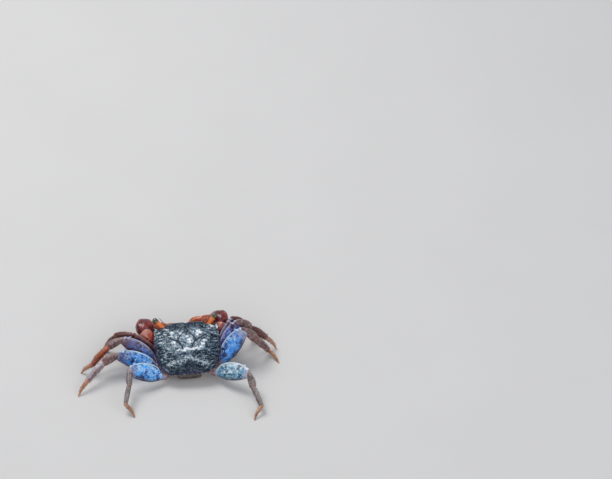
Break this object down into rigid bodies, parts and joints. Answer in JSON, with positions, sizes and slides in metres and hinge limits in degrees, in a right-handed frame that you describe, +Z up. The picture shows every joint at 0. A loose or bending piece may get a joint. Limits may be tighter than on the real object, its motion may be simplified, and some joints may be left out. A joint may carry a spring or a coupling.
{
  "type": "mangrove crab figure",
  "caption": "Life-size still model of a mangrove crab (Sesarma mederi), standing on its walking legs with both claws folded in front and its eyes raised.",
  "frame": {"origin": "middle of the whole crab's bounding box, on the floor it stands on", "axes": "+X towards the crab's left side, -Y the way the crab faces, +Z up"},
  "size_m": [0.1054, 0.0682, 0.0237],
  "materials": {
    "shell": "slate-dark horny shell with whitish mottling, semi-gloss, finely granular",
    "underside": "pale buff underside and leg bases, satin",
    "leg_blue": "bright blue with whitish mottling and dark blotches, semi-gloss",
    "leg_brown": "brown-red to orange with a grey mud film, satin",
    "claw": "deep red to red-orange with pale finger tips, glossy",
    "stalk": "bright orange eyestalk, glossy",
    "eye": "dark green-brown eye, wet gloss"
  },
  "bodies": {
    "root": {"carapace": "shell", "sternum": "underside", "abdomen": "shell", "mouthpart_left": "underside", "eyestalk_left": "stalk", "eye_left": "eye", "antenna_left": "claw", "claw_left_arm": "claw", "claw_left_wrist": "claw", "claw_left_palm": "claw", "claw_left_finger": "claw", "leg_1_left_hip": "underside", "leg_1_left_merus": "leg_blue", "leg_1_left_carpus": "leg_brown", "leg_1_left_propodus": "leg_brown", "leg_1_left_dactylus": "leg_brown", "leg_2_left_hip": "underside", "leg_2_left_merus": "leg_blue", "leg_2_left_carpus": "leg_brown", "leg_2_left_propodus": "leg_brown", "leg_2_left_dactylus": "leg_brown", "leg_3_left_hip": "underside", "leg_3_left_merus": "leg_blue", "leg_3_left_carpus": "leg_brown", "leg_3_left_propodus": "leg_brown", "leg_3_left_dactylus": "leg_brown", "leg_4_left_hip": "underside", "leg_4_left_merus": "leg_blue", "leg_4_left_carpus": "leg_brown", "leg_4_left_propodus": "leg_brown", "leg_4_left_dactylus": "leg_brown", "mouthpart_right": "underside", "eyestalk_right": "stalk", "eye_right": "eye", "antenna_right": "claw", "claw_right_arm": "claw", "claw_right_wrist": "claw", "claw_right_palm": "claw", "claw_right_finger": "claw", "leg_1_right_hip": "underside", "leg_1_right_merus": "leg_blue", "leg_1_right_carpus": "leg_brown", "leg_1_right_propodus": "leg_brown", "leg_1_right_dactylus": "leg_brown", "leg_2_right_hip": "underside", "leg_2_right_merus": "leg_blue", "leg_2_right_carpus": "leg_brown", "leg_2_right_propodus": "leg_brown", "leg_2_right_dactylus": "leg_brown", "leg_3_right_hip": "underside", "leg_3_right_merus": "leg_blue", "leg_3_right_carpus": "leg_brown", "leg_3_right_propodus": "leg_brown", "leg_3_right_dactylus": "leg_brown", "leg_4_right_hip": "underside", "leg_4_right_merus": "leg_blue", "leg_4_right_carpus": "leg_brown", "leg_4_right_propodus": "leg_brown", "leg_4_right_dactylus": "leg_brown"}
  },
  "joints": []
}
